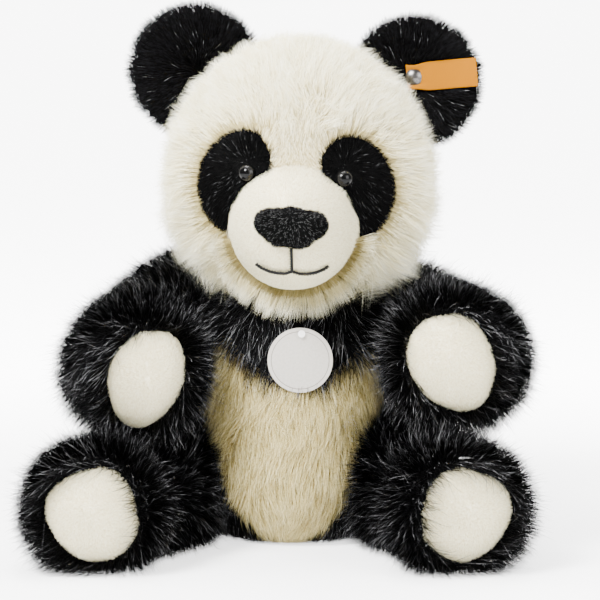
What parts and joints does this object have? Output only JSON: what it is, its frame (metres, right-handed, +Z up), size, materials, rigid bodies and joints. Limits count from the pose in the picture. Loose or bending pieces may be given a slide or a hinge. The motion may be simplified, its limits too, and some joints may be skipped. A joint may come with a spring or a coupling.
{
  "type": "plush panda",
  "caption": "Sitting jointed plush panda with a turning head, swinging arms and legs, sewn ears, safety eyes, velour pads, an ear ribbon and a chest card.",
  "frame": {"origin": "on the flat of the seat, below the middle of the torso", "axes": "+Z up, the toy faces -Y, its left side is +X"},
  "size_m": [0.2132, 0.162, 0.2409],
  "materials": {
    "black_plush": "long black pile with silvery grey tips",
    "cream_plush": "long cream pile",
    "cream_velour": "short cream pile",
    "nose_velour": "short black pile with grey flecks",
    "polyester_fibre": "loose white fibre filling",
    "pellet_cloth": "plain woven bag",
    "black_yarn": "twisted embroidery yarn",
    "eye_gloss": "polished, dark grey brown ring round a black pupil",
    "joint_plastic": "moulded nylon",
    "rivet_metal": "domed rivet",
    "ribbon_weave": "woven yellow ribbon",
    "card_board": "matt coated card",
    "white_thread": "thin cord",
    "label_satin": "white satin"
  },
  "bodies": {
    "torso": {"body_skin": "black_plush", "belly_panel": "cream_plush", "body_stuffing": "polyester_fibre", "pellet_bag": "pellet_cloth", "tail": "cream_plush", "care_label": "label_satin", "card_thread": "white_thread", "neck_washer": "joint_plastic", "left_shoulder_washer": "joint_plastic", "right_shoulder_washer": "joint_plastic", "left_hip_washer": "joint_plastic", "right_hip_washer": "joint_plastic"},
    "head": {"head_skin": "cream_plush", "head_stuffing": "polyester_fibre", "muzzle_skin": "cream_velour", "muzzle_stuffing": "polyester_fibre", "nose": "nose_velour", "mouth_stitching": "black_yarn", "left_eye_patch": "black_plush", "right_eye_patch": "black_plush", "left_eye": "eye_gloss", "right_eye": "eye_gloss", "left_eye_washer": "joint_plastic", "right_eye_washer": "joint_plastic", "neck_stud": "joint_plastic", "neck_lock": "joint_plastic"},
    "left_ear": {"left_ear": "black_plush", "left_ear_filling": "polyester_fibre", "ear_button": "rivet_metal", "ear_button_back": "rivet_metal"},
    "right_ear": {"right_ear": "black_plush", "right_ear_filling": "polyester_fibre"},
    "ear_ribbon": {"ear_ribbon": "ribbon_weave"},
    "chest_card": {"chest_card": "card_board"},
    "left_arm": {"left_arm_skin": "black_plush", "left_arm_stuffing": "polyester_fibre", "left_paw_pad": "cream_velour", "left_shoulder_stud": "joint_plastic", "left_shoulder_lock": "joint_plastic"},
    "right_arm": {"right_arm_skin": "black_plush", "right_arm_stuffing": "polyester_fibre", "right_paw_pad": "cream_velour", "right_shoulder_stud": "joint_plastic", "right_shoulder_lock": "joint_plastic"},
    "left_leg": {"left_leg_skin": "black_plush", "left_leg_stuffing": "polyester_fibre", "left_foot_pad": "cream_velour", "left_hip_stud": "joint_plastic", "left_hip_lock": "joint_plastic"},
    "right_leg": {"right_leg_skin": "black_plush", "right_leg_stuffing": "polyester_fibre", "right_foot_pad": "cream_velour", "right_hip_stud": "joint_plastic", "right_hip_lock": "joint_plastic"}
  },
  "joints": [
    {"name": "neck", "type": "hinge", "parent": "torso", "child": "head", "pos_m": [0.00412, 0, 0.11684], "axis": [0.0523, 0, 0.9986], "range_deg": [-50, 50]},
    {"name": "left_shoulder", "type": "hinge", "parent": "torso", "child": "left_arm", "pos_m": [0.03908, 0, 0.09598], "axis": [0.9986, 0, -0.0523], "range_deg": [-50, 6]},
    {"name": "right_shoulder", "type": "hinge", "parent": "torso", "child": "right_arm", "pos_m": [-0.03282, 0, 0.09975], "axis": [-0.9986, 0, 0.0523], "range_deg": [-4, 50]},
    {"name": "left_hip", "type": "hinge", "parent": "torso", "child": "left_leg", "pos_m": [0.0335, -0.004, 0.027], "axis": [1, 0, 0], "range_deg": [-6, 110]},
    {"name": "right_hip", "type": "hinge", "parent": "torso", "child": "right_leg", "pos_m": [-0.0385, -0.004, 0.027], "axis": [-1, 0, 0], "range_deg": [-110, 6]},
    {"name": "left_ear_seam", "type": "hinge", "parent": "head", "child": "left_ear", "pos_m": [0.04914, 0.0005, 0.2031], "axis": [0.6069, -0.0226, -0.7945], "range_deg": [-12, 12], "stiffness_Nm_per_rad": 0.02},
    {"name": "right_ear_seam", "type": "hinge", "parent": "head", "child": "right_ear", "pos_m": [-0.03649, 0.0035, 0.20759], "axis": [0.6866, -0.0226, 0.7267], "range_deg": [-12, 12], "stiffness_Nm_per_rad": 0.02},
    {"name": "ribbon_turn", "type": "hinge", "parent": "left_ear", "child": "ear_ribbon", "pos_m": [0.05643, -0.00674, 0.21123], "axis": [-0.0349, -0.9994, 0.0018], "range_deg": [-25, 25]},
    {"name": "card_swing", "type": "hinge", "parent": "torso", "child": "chest_card", "pos_m": [0.00521, -0.0496, 0.09926], "axis": [0, -1, 0], "range_deg": [-40, 40]}
  ]
}
